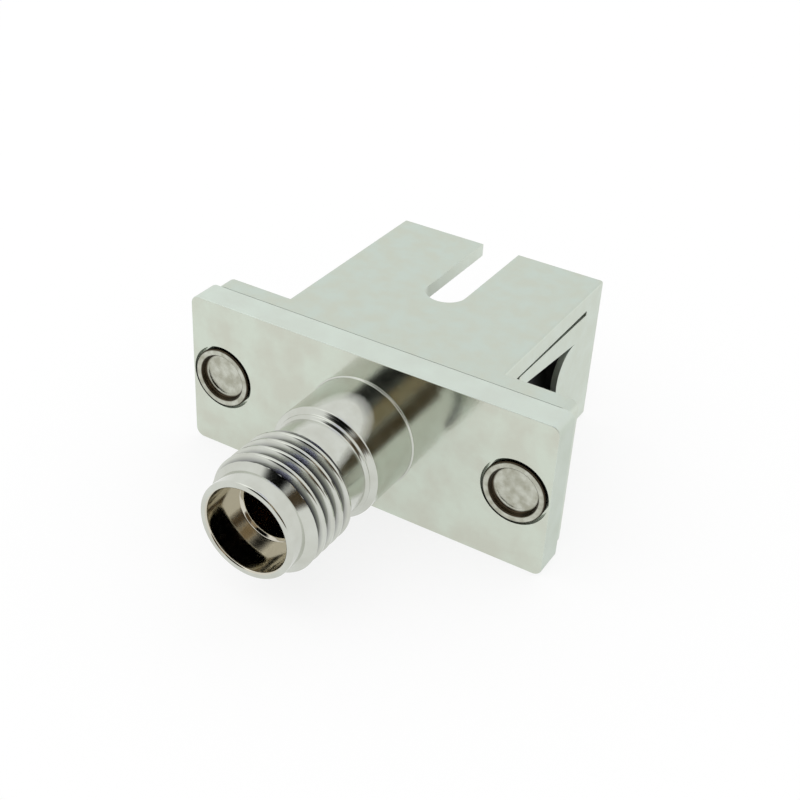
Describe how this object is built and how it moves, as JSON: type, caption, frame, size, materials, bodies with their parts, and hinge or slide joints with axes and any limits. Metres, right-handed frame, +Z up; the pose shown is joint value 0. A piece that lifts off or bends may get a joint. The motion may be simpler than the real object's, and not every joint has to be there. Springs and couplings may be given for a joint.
{
  "type": "hybrid fibre adapter",
  "caption": "Nickel-plated fibre adapter with a threaded barrel port in front of a riveted rectangular flange and a keyed push-pull port box behind it.",
  "frame": {"origin": "on the optical axis, in the plane of the flange's back face that seats on a panel", "axes": "+Y along the optical axis towards the push-pull port, +X along the flange's length, +Z up on the side of the key slot"},
  "size_m": [0.022, 0.0249, 0.0092],
  "materials": {
    "plate_nickel": "satin nickel plate",
    "housing_nickel": "satin nickel plate",
    "turned_nickel": "bright nickel on turned brass",
    "rivet_nickel": "nickel plate on rolled brass",
    "black_moulding": "moulded",
    "bronze": "drawn bronze"
  },
  "bodies": {
    "root": {"front_plate": "plate_nickel", "rear_housing": "housing_nickel", "threaded_barrel": "turned_nickel", "rivets": "rivet_nickel", "latch_holder": "black_moulding", "alignment_sleeve": "bronze"}
  },
  "joints": []
}
